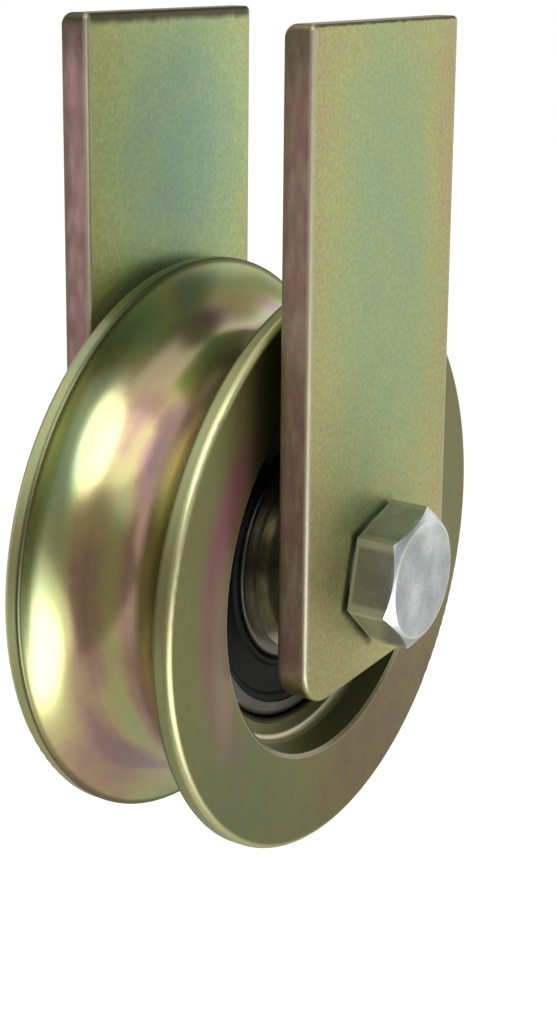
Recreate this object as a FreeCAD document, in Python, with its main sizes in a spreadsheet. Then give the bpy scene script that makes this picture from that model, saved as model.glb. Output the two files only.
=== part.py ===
import FreeCAD, Part

import math
import os
from types import SimpleNamespace

import Sketcher

# Gate wheel with bracket
#
# A grooved steel wheel runs on a sealed ball bearing. The bearing's inner ring is clamped by two
# stepped bushes between two flat plates, and one hexagon bolt holds it all. The plates are welded to
# a gate. The origin is the wheel's centre, Y is the axle, the bolt's head is at -Y and +Z is up.

# Driving sizes, in millimetres and degrees. The names that end in share are shares of another size.
SIZES = {
    # Wheel, turned in one piece round the bearing
    "wheel_width": 26.0,
    "rim_land": 2.5,
    "groove_lift": 2.5,
    "groove_wall": 8.5,
    "groove_lip_round": 0.4,
    "rim_round": 0.9,
    "recess_mouth_width": 3.7,
    "recess_floor_width": 2.9,
    "recess_floor_round": 0.9,
    "recess_mouth_chamfer": 0.4,
    "front_floor_stand": 0.7,
    "shoulder_thickness": 2.0,
    "shoulder_height": 2.0,
    # Bearing rings
    "bearing_outside": 47.0,
    "bearing_section": 13.5,
    "bearing_corner_round": 1.0,
    "inner_ring_edge_round": 0.6,
    "inner_shoulder_share": 0.441,
    "outer_shoulder_share": 0.567,
    # Balls and raceways
    "ball_share": 0.588,
    "ball_play": 0.02,
    "ball_cover": 3.031,
    "inner_race_share": 0.515,
    "outer_race_share": 0.525,
    # Cage, two pressed halves held by rivets
    "cage_sheet": 0.7,
    "cage_pocket_clearance": 0.15,
    "cage_ring_clearance": 0.35,
    "rivet_diameter": 1.2,
    "rivet_head_overhang": 0.45,
    "rivet_head_height": 0.4,
    # Seals, rubber moulded on a steel disc
    "seal_seat_share": 1.15,
    "seal_seat_depth": 1.7,
    "seal_setback": 0.3,
    "seal_bead_width": 0.9,
    "seal_hollow_depth": 0.4,
    "seal_lip_width": 0.9,
    "seal_lip_clearance": 0.06,
    "seal_disc_thickness": 0.3,
    "seal_disc_rise": 0.2,
    # Bushes between the inner ring and the plates
    "bush_collar_step": 2.0,
    "bush_flange_step": 1.4,
    "bush_flange_thickness": 1.0,
    "bush_end_gap": 0.4,
    "bush_chamfer": 0.5,
    # Bracket plates
    "side_clearance": 2.0,
    "plate_width": 38.4,
    "plate_thickness": 4.5,
    "plate_rise": 75.0,
    "plate_drop": 14.0,
    "plate_end_round": 6.0,
    "plate_edge_break": 0.5,
    "plate_side_roll": 0.8,
    "plate_end_roll": 1.8,
    # Bolt and locking nut
    "bolt_diameter": 10.0,
    "bolt_clearance": 0.25,
    "bolt_stand_out": 1.0,
    "bolt_thread_run": 16.0,
    "bolt_end_chamfer": 1.0,
    "thread_half_depth": 0.485,
    "hex_share": 1.7,
    "head_height": 7.0,
    "washer_face_height": 0.5,
    "head_turn": 44.0,
    "nut_height": 10.0,
    "nut_turn": 12.0,
    "nut_collar_height": 2.6,
    "nut_collar_step": 1.0,
    "nut_collar_wall": 1.1,
    "nut_collar_round": 1.2,
    "nut_opening_step": 0.6,
    "insert_height": 2.2,
    "insert_depth": 0.8,
}
BALL_COUNT = 8

# How a hexagon's corners are cut: the flat circle left on its end, as a share of the flats, and the slope
HEX_FACE_SHARE = 0.95
HEX_CORNER_SLOPE = math.tan(math.radians(30.0))
HEX_SPREAD = 1.0 / math.sqrt(3.0)

# Which way a side of an outline bends on its way to the next corner
LEFT = 1
RIGHT = -1

# The two ends of the axle
FRONT = -1
REAR = 1


class Size:
    """A size that knows its value and the expression that gives it."""

    def __init__(self, value, text):
        self.value = value
        self.text = text

    def __add__(self, other):
        other = as_size(other)
        return Size(self.value + other.value, f"({self.text} + {other.text})")

    def __sub__(self, other):
        other = as_size(other)
        return Size(self.value - other.value, f"({self.text} - {other.text})")

    def __mul__(self, other):
        other = as_size(other)
        return Size(self.value * other.value, f"({self.text} * {other.text})")

    def __truediv__(self, other):
        other = as_size(other)
        return Size(self.value / other.value, f"({self.text} / {other.text})")

    def __neg__(self):
        return Size(-self.value, f"(0 - {self.text})")


def as_size(given):
    if isinstance(given, Size):
        return given
    return Size(float(given), f"({float(given):.9f})")


def leg(long_side, short_side):
    """The other leg of a right triangle, from its longest side and one leg."""
    value = math.sqrt(long_side.value**2 - short_side.value**2)
    return Size(value, f"sqrt({long_side.text} ^ 2 - {short_side.text} ^ 2)")


# Document and its sheet of sizes
doc = FreeCAD.newDocument("gate_wheel")
sheet = doc.addObject("Spreadsheet::Sheet", "Sizes")
for row, (name, value) in enumerate(SIZES.items(), start=1):
    sheet.set(f"A{row}", name)
    sheet.set(f"B{row}", str(value))
    sheet.setAlias(f"B{row}", name)
doc.recompute()
s = SimpleNamespace(**{name: Size(value, f"Sizes.{name}") for name, value in SIZES.items()})

# Bearing: the balls run halfway between its bore and its outside
seat_radius = s.bearing_outside / 2
bore_radius = seat_radius - s.bearing_section
pitch_radius = (seat_radius + bore_radius) / 2
ball_diameter = s.bearing_section * s.ball_share
ball_radius = ball_diameter / 2
half_bearing = ball_radius + s.ball_cover
inner_shoulder = pitch_radius - ball_radius * s.inner_shoulder_share
outer_shoulder = pitch_radius + ball_radius * s.outer_shoulder_share
seal_seat = pitch_radius + ball_radius * s.seal_seat_share

# Wheel: its width sets the groove, and the bearing and the groove set its diameter
half_width = s.wheel_width / 2
groove_lip = half_width - s.rim_land
groove_depth = groove_lip - s.groove_lift
groove_radius = (groove_lip * groove_lip + groove_depth * groove_depth) / (groove_depth * 2)
rim_radius = seat_radius + s.groove_wall + groove_depth
front_floor = half_bearing + s.front_floor_stand
rear_floor = half_bearing + s.shoulder_thickness

# Bracket and its bolt
half_gap = half_width + s.side_clearance
plate_outside = half_gap + s.plate_thickness
shank_radius = s.bolt_diameter / 2
bolt_hole_radius = shank_radius + s.bolt_clearance
thread_radius = shank_radius - s.thread_half_depth
bolt_length = plate_outside * 2 + s.nut_height + s.bolt_stand_out
hex_flats = s.bolt_diameter * s.hex_share
zero = Size(0.0, "0")


def plane_of(body, role):
    return next(item for item in body.Origin.OriginFeatures if item.Role == role)


def new_body(name):
    body = doc.addObject("PartDesign::Body", name)
    body.Label = name
    return body


def new_sketch(body, name, role):
    sketch = body.newObject("Sketcher::SketchObject", f"{body.Label}_{name}")
    sketch.AttachmentSupport = (plane_of(body, role), [""])
    sketch.MapMode = "FlatFace"
    return sketch


def hold_point(sketch, element, point, place):
    """Ties a point to the sketch's origin along both of its axes."""
    for kind, axis, size in (("DistanceX", -2, place[0]), ("DistanceY", -1, place[1])):
        if size is zero:
            sketch.addConstraint(Sketcher.Constraint("PointOnObject", element, point, axis))
            continue
        row = sketch.addConstraint(Sketcher.Constraint(kind, -1, 1, element, point, size.value))
        sketch.setExpression(f"Constraints[{row}]", size.text)


def arc_between(start, end, radius, turn):
    """The shorter arc from start to end, bending to the left or to the right on the way."""
    middle = (start + end) / 2
    run = end - start
    across = FreeCAD.Vector(-run.y, run.x, 0).normalize()
    centre = middle + across * turn * math.sqrt(radius**2 - (run.Length / 2) ** 2)
    first, last = (start, end) if turn == LEFT else (end, start)
    angles = [math.atan2(p.y - centre.y, p.x - centre.x) for p in (first, last)]
    if angles[1] < angles[0]:
        angles[1] += 2 * math.pi
    return Part.ArcOfCircle(Part.Circle(centre, FreeCAD.Vector(0, 0, 1), radius), *angles)


def draw_outline(sketch, corners, bends=None):
    """Draws one closed outline. bends gives a side's radius and turn where it is an arc."""
    bends = bends or {}
    points = [FreeCAD.Vector(x.value, y.value, 0) for x, y in corners]
    count = len(points)
    starts = []
    ends = []
    for side in range(count):
        start, end = points[side], points[(side + 1) % count]
        radius, turn = bends.get(side, (None, LEFT))
        if radius is None:
            element = sketch.addGeometry(Part.LineSegment(start, end))
        else:
            element = sketch.addGeometry(arc_between(start, end, radius.value, turn))
            row = sketch.addConstraint(Sketcher.Constraint("Radius", element, radius.value))
            sketch.setExpression(f"Constraints[{row}]", radius.text)
        starts.append((element, 1 if turn == LEFT else 2))
        ends.append((element, 2 if turn == LEFT else 1))
    for side in range(count):
        sketch.addConstraint(Sketcher.Constraint("Coincident", *ends[side - 1], *starts[side]))
        hold_point(sketch, *starts[side], corners[side])


def draw_circle(sketch, radius):
    centre = FreeCAD.Vector(0, 0, 0)
    circle = Part.Circle(centre, FreeCAD.Vector(0, 0, 1), radius.value)
    element = sketch.addGeometry(circle)
    sketch.addConstraint(Sketcher.Constraint("Coincident", element, 3, -1, 1))
    row = sketch.addConstraint(Sketcher.Constraint("Radius", element, radius.value))
    sketch.setExpression(f"Constraints[{row}]", radius.text)


def turned(body, name, corners, bends=None, kind="PartDesign::Revolution"):
    """Turns an outline of (radius, place along the axle) corners about the axle."""
    sketch = new_sketch(body, name, "XY_Plane")
    draw_outline(sketch, corners, bends)
    feature = body.newObject(kind, f"{body.Label}_{name}_turned")
    feature.Profile = sketch
    feature.ReferenceAxis = (sketch, ["V_Axis"])
    feature.Angle = 360.0
    doc.recompute()
    return feature


def cut_turned(body, name, corners, bends=None):
    """Turns a groove into the body, and makes sure that it took something away."""
    before = body.Shape.Volume
    feature = turned(body, name, corners, bends, "PartDesign::Groove")
    if body.Shape.Volume >= before:
        raise RuntimeError(f"{body.Label}: {name} cuts nothing")
    return feature


def padded(body, name, sketch, length, rearwards=False):
    """Pads a sketch on the XZ plane: towards -Y, or towards +Y if rearwards."""
    pad = body.newObject("PartDesign::Pad", f"{body.Label}_{name}")
    pad.Profile = sketch
    pad.setExpression("Length", length.text)
    pad.Reversed = rearwards
    doc.recompute()
    return pad


def circle_edges(feature, radius, place):
    """Names of the feature's full circles of a radius about the axle, at a place along it."""
    names = []
    for number, edge in enumerate(feature.Shape.Edges, start=1):
        curve = edge.Curve
        if not isinstance(curve, Part.Circle):
            continue
        centre = curve.Center
        if abs(curve.Radius - radius.value) < 1e-4 and abs(centre.y - place.value) < 1e-4:
            names.append(f"Edge{number}")
    if not names:
        raise RuntimeError(f"{feature.Label}: no edge of radius {radius.value} at {place.value}")
    return names


def softened(body, kind, name, base, edges, size):
    """Rounds (PartDesign::Fillet) or bevels (PartDesign::Chamfer) the named edges of base."""
    feature = body.newObject(kind, f"{body.Label}_{name}")
    feature.Base = (base, edges)
    feature.setExpression("Radius" if kind.endswith("Fillet") else "Size", size.text)
    doc.recompute()
    return feature


def hexagon_corners(across_flats):
    """The six corners of a hexagon with a corner on the first axis."""
    spread = across_flats * HEX_SPREAD
    corners = []
    for step in range(6):
        angle = math.radians(60.0 * step)
        flat = step % 3 == 0
        corners.append((spread * math.cos(angle), zero if flat else spread * math.sin(angle)))
    return corners


def cut_hex_corners(body, name, across_flats, end, towards):
    """Bevels a hexagon's corners at one end. towards is the way from that end into the piece."""
    inner = across_flats * HEX_FACE_SHARE / 2
    outer = across_flats * HEX_SPREAD + 1
    depth = (outer - inner) * HEX_CORNER_SLOPE
    past = end - as_size(towards)
    corners = [(inner, end), (inner, past), (outer, past), (outer, end + depth * towards)]
    if towards == FRONT:
        corners.reverse()
    cut_turned(body, name, corners)


def place(item, along=None, across=None, up=None, turn=None):
    """Ties an object's place and its turn about the axle to the sheet."""
    for axis, size in (("x", across), ("y", along), ("z", up)):
        if size is not None:
            item.setExpression(f"Placement.Base.{axis}", size.text)
    if turn is not None:
        item.Placement = FreeCAD.Placement(
            FreeCAD.Vector(0, 0, 0), FreeCAD.Rotation(FreeCAD.Vector(0, 1, 0), turn.value)
        )
        item.setExpression("Placement.Rotation.Angle", turn.text)


def make_wheel():
    """The wheel: a round-bottomed rail groove, a recess in each face and the bearing's seat."""
    body = new_body("wheel")
    mouth = seat_radius + s.recess_mouth_width
    floor = seat_radius + s.recess_floor_width
    shoulder = seat_radius - s.shoulder_height
    corners = [
        (mouth, -half_width),
        (rim_radius, -half_width),
        (rim_radius, -groove_lip),
        (rim_radius, groove_lip),
        (rim_radius, half_width),
        (mouth, half_width),
        (floor, rear_floor),
        (shoulder, rear_floor),
        (shoulder, half_bearing),
        (seat_radius, half_bearing),
        (seat_radius, -half_bearing),
        (seat_radius + s.front_floor_stand, -front_floor),
        (floor, -front_floor),
    ]
    base = turned(body, "section", corners, {2: (groove_radius, RIGHT)})
    for name, radius, spot, kind, size in (
        ("rim", rim_radius, half_width, "PartDesign::Fillet", s.rim_round),
        ("lip", rim_radius, groove_lip, "PartDesign::Fillet", s.groove_lip_round),
        ("mouth", mouth, half_width, "PartDesign::Chamfer", s.recess_mouth_chamfer),
    ):
        edges = circle_edges(base, radius, spot) + circle_edges(base, radius, -spot)
        base = softened(body, kind, name, base, edges, size)
    edges = circle_edges(base, floor, rear_floor) + circle_edges(base, floor, -front_floor)
    softened(body, "PartDesign::Fillet", "floors", base, edges, s.recess_floor_round)


def make_outer_ring():
    """Outer bearing ring: pressed into the wheel, with the outer raceway and a seat for each seal."""
    body = new_body("outer_ring")
    race_bottom = pitch_radius + ball_radius + s.ball_play
    race_radius = ball_diameter * s.outer_race_share
    race_edge = leg(race_radius, outer_shoulder - race_bottom + race_radius)
    corner = s.bearing_corner_round
    seat_floor = half_bearing - s.seal_seat_depth
    corners = [
        (outer_shoulder, -seat_floor),
        (seal_seat, -seat_floor),
        (seal_seat, -half_bearing),
        (seat_radius - corner, -half_bearing),
        (seat_radius, corner - half_bearing),
        (seat_radius, half_bearing - corner),
        (seat_radius - corner, half_bearing),
        (seal_seat, half_bearing),
        (seal_seat, seat_floor),
        (outer_shoulder, seat_floor),
        (outer_shoulder, race_edge),
        (outer_shoulder, -race_edge),
    ]
    bends = {3: (corner, LEFT), 5: (corner, LEFT), 10: (race_radius, RIGHT)}
    turned(body, "section", corners, bends)


def make_inner_ring():
    """Inner bearing ring: clamped on the axle by the bushes, with the inner raceway."""
    body = new_body("inner_ring")
    bore = bore_radius
    race_bottom = pitch_radius - ball_radius - s.ball_play
    race_radius = ball_diameter * s.inner_race_share
    race_edge = leg(race_radius, race_bottom + race_radius - inner_shoulder)
    corner = s.bearing_corner_round
    edge = s.inner_ring_edge_round
    corners = [
        (bore + corner, -half_bearing),
        (inner_shoulder - edge, -half_bearing),
        (inner_shoulder, edge - half_bearing),
        (inner_shoulder, -race_edge),
        (inner_shoulder, race_edge),
        (inner_shoulder, half_bearing - edge),
        (inner_shoulder - edge, half_bearing),
        (bore + corner, half_bearing),
        (bore, half_bearing - corner),
        (bore, corner - half_bearing),
    ]
    bends = {
        1: (edge, LEFT),
        3: (race_radius, RIGHT),
        5: (edge, LEFT),
        7: (corner, LEFT),
        9: (corner, LEFT),
    }
    turned(body, "section", corners, bends)


def make_seal(name, side):
    """A contact seal: a rubber ring with a bead in the outer ring and a lip over the inner one."""
    inside = half_bearing - s.seal_seat_depth
    disc_face = inside + s.seal_disc_rise
    disc_back = disc_face + s.seal_disc_thickness
    outside = half_bearing - s.seal_setback
    hollow = outside - s.seal_hollow_depth
    lip = inner_shoulder + s.seal_lip_clearance
    lip_root = lip + s.seal_lip_width
    bead = seal_seat - s.seal_bead_width
    slope = s.seal_hollow_depth
    half_lip = s.seal_lip_width / 2
    disc_bore = lip_root + slope
    rubber = [
        (seal_seat, inside),
        (seal_seat, outside),
        (bead, outside),
        (bead - slope, hollow),
        (lip_root + slope, hollow),
        (lip_root, outside),
        (lip + half_lip, outside),
        (lip, hollow),
        (lip, disc_back),
        (lip + half_lip, disc_face),
        (disc_bore, disc_face),
        (disc_bore, disc_back),
        (bead, disc_back),
        (bead, inside),
    ]
    body = new_body(f"seal_{name}")
    turned(body, "section", [(radius, y * side) for radius, y in rubber])
    disc = [(disc_bore, disc_face), (bead, disc_face), (bead, disc_back), (disc_bore, disc_back)]
    body = new_body(f"seal_disc_{name}")
    turned(body, "section", [(radius, y * side) for radius, y in disc])


def along_axle(item, low):
    """Lays a cylinder along the axle, from low upwards."""
    item.Placement = FreeCAD.Placement(
        FreeCAD.Vector(0, 0, 0), FreeCAD.Rotation(FreeCAD.Vector(1, 0, 0), -90)
    )
    item.setExpression("Placement.Base.y", low.text)


def new_cylinder(name, radius, low, height):
    item = doc.addObject("Part::Cylinder", name)
    item.setExpression("Radius", radius.text)
    item.setExpression("Height", height.text)
    along_axle(item, low)
    return item


def on_pitch_circle(item, step):
    """Places an object on the balls' pitch circle. step counts the balls."""
    angle = f"{360.0 * step / BALL_COUNT} deg"
    item.setExpression("Placement.Base.x", f"{pitch_radius.text} * cos({angle})")
    item.setExpression("Placement.Base.z", f"{pitch_radius.text} * sin({angle})")


def new_sphere(name, radius, step):
    item = doc.addObject("Part::Sphere", name)
    item.setExpression("Radius", radius.text)
    along_axle(item, zero)
    on_pitch_circle(item, step)
    return item


def fused(name, items):
    item = doc.addObject("Part::MultiFuse", name)
    item.Shapes = items
    return item


def cut(name, base, tool):
    item = doc.addObject("Part::Cut", name)
    item.Base = base
    item.Tool = tool
    return item


def make_ball(step):
    ball = new_sphere(f"ball_{step + 1}", ball_radius, step)
    ball.Label = f"ball_{step + 1}"


def make_cage_half(name, side):
    """Half of the ribbon cage: a flat ring pressed into a round pocket over every ball."""
    pocket = ball_radius + s.cage_pocket_clearance
    reach = pocket + s.cage_sheet
    inside = inner_shoulder + s.cage_ring_clearance
    outside = outer_shoulder - s.cage_ring_clearance
    low = zero if side == REAR else -s.cage_sheet
    band_length = reach + 1
    band_low = zero if side == REAR else -band_length
    steps = range(BALL_COUNT)
    shells = [new_sphere(f"cage_{name}_shell_{step}", reach, step) for step in steps]
    hollows = [new_sphere(f"cage_{name}_hollow_{step}", pocket, step) for step in steps]
    disc = new_cylinder(f"cage_{name}_disc", outside + 1, low, s.cage_sheet)
    band = cut(
        f"cage_{name}_band",
        new_cylinder(f"cage_{name}_band_outside", outside, band_low, band_length),
        new_cylinder(f"cage_{name}_band_inside", inside, band_low, band_length),
    )
    ribbon = doc.addObject("Part::MultiCommon", f"cage_{name}_ribbon")
    ribbon.Shapes = [fused(f"cage_{name}_pressing", [disc, *shells]), band]
    holes = []
    for step in steps:
        hole = new_cylinder(f"cage_{name}_hole_{step}", s.rivet_diameter / 2, low, s.cage_sheet)
        on_pitch_circle(hole, step + 0.5)
        holes.append(hole)
    half = cut(f"cage_{name}", ribbon, fused(f"cage_{name}_openings", hollows + holes))
    half.Label = f"cage_{name}"


def make_cage_rivets():
    """One rivet between each pair of balls, with a head on either half of the cage."""
    rivets = []
    head = s.rivet_head_height
    shank = s.rivet_diameter / 2
    head_radius = shank + s.rivet_head_overhang
    for step in range(BALL_COUNT):
        lengths = (
            ("shank", shank, -s.cage_sheet, s.cage_sheet * 2),
            ("front_head", head_radius, -s.cage_sheet - head, head),
            ("rear_head", head_radius, s.cage_sheet, head),
        )
        pieces = []
        for name, radius, low, height in lengths:
            piece = new_cylinder(f"rivet_{step}_{name}", radius, low, height)
            on_pitch_circle(piece, step + 0.5)
            pieces.append(piece)
        rivets.append(fused(f"rivet_{step}", pieces))
    group = doc.addObject("Part::Compound", "cage_rivets")
    group.Links = rivets
    group.Label = "cage_rivets"


def make_bush(name, side):
    """A stepped bush: a spigot in the inner ring, a thin flange on its face, a collar to the plate."""
    body = new_body(f"bush_{name}")
    spigot = bore_radius
    collar = spigot + s.bush_collar_step
    flange = collar + s.bush_flange_step
    flange_face = half_bearing + s.bush_flange_thickness
    end = s.bush_end_gap / 2
    bevel = s.bush_chamfer
    corners = [
        (bolt_hole_radius, end),
        (spigot - bevel, end),
        (spigot, end + bevel),
        (spigot, half_bearing),
        (flange, half_bearing),
        (flange, flange_face),
        (collar, flange_face),
        (collar, half_gap - bevel),
        (collar - bevel, half_gap),
        (bolt_hole_radius, half_gap),
    ]
    turned(body, "section", [(radius, y * side) for radius, y in corners])


def outline_edges(feature, depth, with_end, only_end=False):
    """Names of a plate's outline edges at a depth, with or without the one along its square end."""
    names = []
    for number, edge in enumerate(feature.Shape.Edges, start=1):
        flat = all(abs(vertex.Y - depth.value) < 1e-4 for vertex in edge.Vertexes)
        hole = isinstance(edge.Curve, Part.Circle) and edge.Curve.Center.z == 0
        end = edge.BoundBox.ZMin > s.plate_rise.value - 1e-4
        if flat and not hole and (with_end if end else not only_end):
            names.append(f"Edge{number}")
    return names


def make_plate(name, along):
    """A bracket plate of flat bar: square at the top, where it is welded, and rounded below."""
    body = new_body(f"plate_{name}")
    half = s.plate_width / 2
    bend = s.plate_end_round
    corners = [
        (half, bend - s.plate_drop),
        (half, s.plate_rise),
        (-half, s.plate_rise),
        (-half, bend - s.plate_drop),
        (bend - half, -s.plate_drop),
        (half - bend, -s.plate_drop),
    ]
    sketch = new_sketch(body, "outline", "XZ_Plane")
    draw_outline(sketch, corners, {3: (bend, LEFT), 5: (bend, LEFT)})
    draw_circle(sketch, bolt_hole_radius)
    base = padded(body, "bar", sketch, s.plate_thickness)
    for name, depth, with_end, size in (
        ("end_roll", zero, True, s.plate_end_roll),
        ("side_roll", zero, False, s.plate_side_roll),
        ("edge_break", -s.plate_thickness, True, s.plate_edge_break),
    ):
        edges = outline_edges(base, depth, with_end, only_end=name == "end_roll")
        base = softened(body, "PartDesign::Fillet", name, base, edges, size)
    place(body, along=along)


def make_bolt():
    """The hexagon bolt that is the axle, from its washer face at 0 along +Y to its end."""
    body = new_body("bolt")
    washer_face = hex_flats * HEX_FACE_SHARE / 2
    thread_start = bolt_length - s.nut_height - s.bolt_thread_run
    bevel = s.bolt_end_chamfer
    corners = [
        (zero, -s.washer_face_height),
        (washer_face, -s.washer_face_height),
        (washer_face, zero),
        (shank_radius, zero),
        (shank_radius, thread_start),
        (thread_radius, thread_start + s.thread_half_depth),
        (thread_radius, bolt_length - bevel),
        (thread_radius - bevel, bolt_length),
        (zero, bolt_length),
    ]
    turned(body, "shank", corners)
    sketch = new_sketch(body, "hexagon", "XZ_Plane")
    sketch.setExpression("AttachmentOffset.Base.z", s.washer_face_height.text)
    draw_outline(sketch, hexagon_corners(hex_flats))
    padded(body, "head", sketch, s.head_height - s.washer_face_height)
    cut_hex_corners(body, "top_corners", hex_flats, -s.head_height, REAR)
    place(body, along=-plate_outside, turn=s.head_turn)


def make_lock_nut():
    """The locking nut, from its seat at 0 along +Y, with a round collar over the nylon ring."""
    body = new_body("lock_nut")
    collar = hex_flats / 2 - s.nut_collar_step
    bend = s.nut_collar_round
    opening = shank_radius + s.nut_opening_step
    insert = collar - s.nut_collar_wall
    hex_height = s.nut_height - s.nut_collar_height
    insert_top = s.nut_height - s.insert_depth
    insert_low = insert_top - s.insert_height
    sketch = new_sketch(body, "hexagon", "XZ_Plane")
    draw_outline(sketch, hexagon_corners(hex_flats))
    padded(body, "hex", sketch, hex_height, rearwards=True)
    cut_hex_corners(body, "top_corners", hex_flats, hex_height, FRONT)
    cut_hex_corners(body, "seat_corners", hex_flats, zero + 0, REAR)
    collar_section = [
        (thread_radius, hex_height - 1),
        (collar, hex_height - 1),
        (collar, s.nut_height - bend),
        (collar - bend, s.nut_height),
        (thread_radius, s.nut_height),
    ]
    turned(body, "collar", collar_section, {2: (bend, LEFT)})
    bore_section = [
        (zero, zero - 1),
        (thread_radius, zero - 1),
        (thread_radius, insert_low),
        (insert, insert_low),
        (insert, insert_top),
        (opening, insert_top),
        (opening, s.nut_height + 1),
        (zero, s.nut_height + 1),
    ]
    cut_turned(body, "bore", bore_section)
    place(body, along=plate_outside, turn=s.nut_turn)
    ring = new_body("nut_insert")
    ring_section = [
        (thread_radius, insert_low),
        (insert, insert_low),
        (insert, insert_top),
        (thread_radius, insert_top),
    ]
    turned(ring, "section", ring_section)
    place(ring, along=plate_outside)


def sub_parts():
    """Every object that is a piece of its own: those that nothing else is built from."""
    used = set()
    for item in doc.Objects:
        if item.TypeId == "PartDesign::Body":
            used.update(part.Name for part in item.OutListRecursive)
        elif item.TypeId.startswith("Part::"):
            used.update(part.Name for part in item.OutList)
    kinds = ("PartDesign::Body", "Part::Sphere", "Part::Cut", "Part::Compound")
    return [item for item in doc.Objects if item.TypeId in kinds and item.Name not in used]


def check_document():
    for item in doc.Objects:
        if "Invalid" in item.State or "Error" in item.State:
            raise RuntimeError(f"{item.Label} failed: {item.State}")


make_wheel()
make_outer_ring()
make_inner_ring()
for number in range(BALL_COUNT):
    make_ball(number)
make_cage_rivets()
for end_name, end_side in (("front", FRONT), ("rear", REAR)):
    make_cage_half(end_name, end_side)
    make_seal(end_name, end_side)
    make_bush(end_name, end_side)
make_plate("front", -half_gap)
make_plate("rear", plate_outside)
make_bolt()
make_lock_nut()
doc.recompute()
check_document()

pieces = sub_parts()
for piece in pieces:
    if piece.Shape.isNull() or not piece.Shape.isValid() or not piece.Shape.Solids:
        raise RuntimeError(f"{piece.Label} has no sound solid")

os.makedirs("parts", exist_ok=True)
for piece in pieces:
    piece.Shape.exportStep(f"parts/{piece.Label}.step")
    print(f"{piece.Label}: {len(piece.Shape.Solids)} solid(s), {piece.Shape.Volume:.1f} mm3")
print(f"{len(pieces)} nodes")
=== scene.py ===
# %% [markdown]
# A gate wheel between two steel straps, the kind that carries a sliding gate along a round rail.
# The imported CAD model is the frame: every solid is already in its place, in metres, so this file only gives each piece
# its finish, adds the little that is too fine for CAD, and lights and films the whole thing.
# Keeping the measured shapes and working on the finish alone is the safest way to get a render that is true to size.

# %% Load the frame
import math

import bpy
from mathutils import Matrix, Quaternion, Vector


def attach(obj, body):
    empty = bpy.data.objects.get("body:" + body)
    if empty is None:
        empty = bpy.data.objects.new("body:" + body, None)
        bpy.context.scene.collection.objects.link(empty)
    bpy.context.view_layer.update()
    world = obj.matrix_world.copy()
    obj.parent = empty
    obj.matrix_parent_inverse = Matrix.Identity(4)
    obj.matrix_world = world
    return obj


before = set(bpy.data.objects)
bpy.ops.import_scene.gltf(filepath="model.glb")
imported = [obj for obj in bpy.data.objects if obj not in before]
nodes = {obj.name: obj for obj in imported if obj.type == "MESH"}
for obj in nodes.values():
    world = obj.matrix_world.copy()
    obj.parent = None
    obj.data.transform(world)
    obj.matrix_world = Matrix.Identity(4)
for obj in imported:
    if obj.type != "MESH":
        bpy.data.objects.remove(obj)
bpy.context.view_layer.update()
print("pieces in the frame:", len(nodes))

# %% [markdown]
# The photograph was taken from close by, a little above the axle and far round to the left, with the camera tilted
# down and leaning by about one degree. A close camera makes the near rim and the near strap look large, so its
# distance matters as much as its angle. The frame of the picture is moved on the camera's sensor with the shift,
# because the wheel doesn't sit in the middle of the photograph.

# %% Camera
CAMERA_PLACE = Vector((-0.19524, -0.12680, 0.08548))
CAMERA_HEADING = 1.0596
CAMERA_DIP = 0.2078
CAMERA_LEAN = 0.0221
CAMERA_LENS = 59.98
CAMERA_SHIFT = (-0.0901, -0.2110)

scene = bpy.context.scene
camera = bpy.data.objects.new("camera", bpy.data.cameras.new("camera"))
scene.collection.objects.link(camera)
camera.matrix_world = (
    Matrix.Translation(CAMERA_PLACE)
    @ Matrix.Rotation(-CAMERA_HEADING, 4, "Z")
    @ Matrix.Rotation(math.pi / 2 - CAMERA_DIP, 4, "X")
    @ Matrix.Rotation(CAMERA_LEAN, 4, "Z")
)
camera.data.sensor_fit = "AUTO"
camera.data.sensor_width = 36.0
camera.data.lens = CAMERA_LENS
camera.data.shift_x, camera.data.shift_y = CAMERA_SHIFT
camera.data.clip_start = 0.005
camera.data.clip_end = 20.0
scene.camera = camera
scene.view_settings.view_transform = "Standard"
print("camera to axle, mm:", round(CAMERA_PLACE.length * 1000))

# %% [markdown]
# Materials here are small graphs of nodes. A few helpers keep the graphs readable: they add a node and feed its
# sockets, do a sum or a product, draw a soft step or a band, and turn a colour, as an eye reads it off a screen, into
# the linear numbers that the shader wants.

# %% Helpers for node graphs
WHITE = (1.0, 1.0, 1.0, 1.0)


def feed(tree, socket, value):
    """Links value to socket where it is a socket itself, and sets it there where it is a plain value."""
    if isinstance(value, bpy.types.NodeSocket):
        tree.links.new(value, socket)
    else:
        socket.default_value = value


def add(tree, kind, inputs=None, **settings):
    """Adds a node to tree and feeds its inputs."""
    made = tree.nodes.new(kind)
    for name, value in settings.items():
        setattr(made, name, value)
    for name, value in (inputs or {}).items():
        feed(tree, made.inputs[name], value)
    return made


def maths(tree, operation, *values, clamp=False):
    """One sum, product or the like, as a socket."""
    return add(tree, "ShaderNodeMath", dict(enumerate(values)), operation=operation, use_clamp=clamp).outputs[0]


def total(tree, first, second, clamp=False):
    return maths(tree, "ADD", first, second, clamp=clamp)


def product(tree, first, second):
    return maths(tree, "MULTIPLY", first, second)


def vector_maths(tree, operation, *values):
    """One sum or the like on points and directions, as its outputs."""
    return add(tree, "ShaderNodeVectorMath", dict(enumerate(values)), operation=operation).outputs


def axes_of(tree, point):
    """A point's X, Y and Z, as sockets."""
    return add(tree, "ShaderNodeSeparateXYZ", {0: point}).outputs


def noise_on(tree, point, scale, detail, roughness=0.5):
    inputs = {"Vector": point, "Scale": scale, "Detail": detail, "Roughness": roughness}
    return add(tree, "ShaderNodeTexNoise", inputs).outputs["Fac"]


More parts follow.
